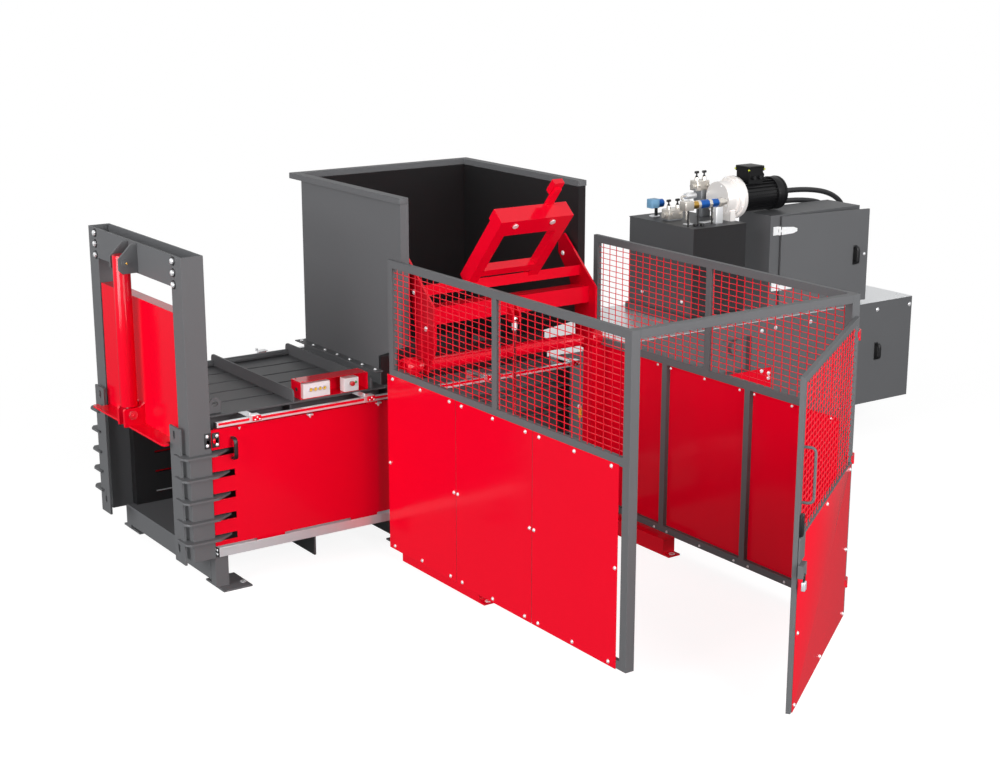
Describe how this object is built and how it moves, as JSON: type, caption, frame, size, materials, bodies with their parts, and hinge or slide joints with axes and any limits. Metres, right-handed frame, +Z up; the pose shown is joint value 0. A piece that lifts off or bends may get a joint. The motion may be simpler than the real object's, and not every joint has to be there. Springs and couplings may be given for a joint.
{
  "type": "horizontal baler",
  "caption": "Horizontal waste baler with a lifting bale door, open hopper, bin lifter behind mesh guard fences with a gate, and a motor-driven hydraulic power pack.",
  "frame": {"origin": "midway between the two anchor holes of the outlet foot plates, on the floor", "axes": "+X along the machine from the outlet to the power pack, -Y towards the operator's side with the bin lifter, +Z up"},
  "size_m": [6.845, 5.1749, 2.5507],
  "materials": {
    "dark_grey": "satin",
    "red_paint": "gloss",
    "red_wire": "satin",
    "white_paint": "satin",
    "zinc_plate": "satin",
    "chromed_rod": "polished",
    "chequer_aluminium": "satin",
    "polished_aluminium": "polished",
    "motor_black": "satin",
    "hose_rubber": "matte"
  },
  "bodies": {
    "baler": {"door_posts": "dark_grey", "door_crossbeam": "dark_grey", "post_fins": "dark_grey", "door_cylinder": "red_paint", "chamber_floor": "dark_grey", "floor_supports": "dark_grey", "baler_feet": "dark_grey", "chamber_wall_near": "dark_grey", "chamber_wall_far": "dark_grey", "chamber_roof": "dark_grey", "roof_fittings": "dark_grey", "control_hood": "red_paint", "control_box": "white_paint", "guard_rails": "zinc_plate", "rail_brackets": "zinc_plate", "hopper_left_wall": "dark_grey", "hopper_right_wall": "dark_grey", "hopper_end_walls": "dark_grey", "hopper_rim": "dark_grey", "ram_housing": "dark_grey", "chequer_deck": "chequer_aluminium", "support_plate": "red_paint", "oil_tank": "dark_grey", "bell_housing": "polished_aluminium", "pump_motor": "motor_black", "valve_blocks": "zinc_plate", "hydraulic_hoses": "hose_rubber", "electrical_cabinet": "dark_grey", "cabinet_hinges": "white_paint", "lifter_base": "red_paint", "lifter_cylinder": "red_paint", "fence_frame_left": "dark_grey", "fence_frame_right": "dark_grey", "fence_sheets": "red_paint", "fence_mesh_left": "red_wire", "fence_mesh_right": "red_wire", "fence_header": "dark_grey", "gate_hinge_pins": "red_paint"},
    "bale_door": {"bale_door": "red_paint", "door_cylinder_rod": "chromed_rod"},
    "guard_near": {"side_guard_near": "red_paint"},
    "guard_far": {"side_guard_far": "red_paint"},
    "cabinet_door": {"cabinet_door": "dark_grey", "cabinet_door_straps": "white_paint"},
    "gate": {"gate_frame": "dark_grey", "gate_hinge_straps": "red_paint", "gate_sheet": "red_paint", "gate_mesh": "red_wire"},
    "lifter": {"lifter_arms": "red_paint", "lifter_frame": "red_paint"},
    "lifter_rod": {"lifter_cylinder_rod": "chromed_rod"}
  },
  "joints": [
    {"name": "bale_door_lift", "type": "slide", "parent": "baler", "child": "bale_door", "axis": [0, 0, 1], "range_m": [-0.73, 0]},
    {"name": "guard_near_slide", "type": "slide", "parent": "baler", "child": "guard_near", "axis": [1, 0, 0], "range_m": [0, 1.25]},
    {"name": "guard_far_slide", "type": "slide", "parent": "baler", "child": "guard_far", "axis": [1, 0, 0], "range_m": [0, 1.25]},
    {"name": "cabinet_door_hinge", "type": "hinge", "parent": "baler", "child": "cabinet_door", "pos_m": [4.946, -0.404, 1.5], "axis": [0, 0, 1], "range_deg": [-100, 7]},
    {"name": "gate_hinge", "type": "hinge", "parent": "baler", "child": "gate", "pos_m": [2.693, -3.441, 1], "axis": [0, 0, 1], "range_deg": [-34, 56]},
    {"name": "lifter_tilt", "type": "hinge", "parent": "baler", "child": "lifter", "pos_m": [1.868, -1, 1.346], "axis": [1, 0, 0], "range_deg": [0, 130]},
    {"name": "lifter_rod_slide", "type": "slide", "parent": "baler", "child": "lifter_rod", "axis": [0, 0, 1], "range_m": [-0.51, 0]}
  ],
  "couplings": [
    {"joint": "lifter_rod_slide", "follows": "lifter_tilt", "m_per_rad": -0.2243}
  ]
}
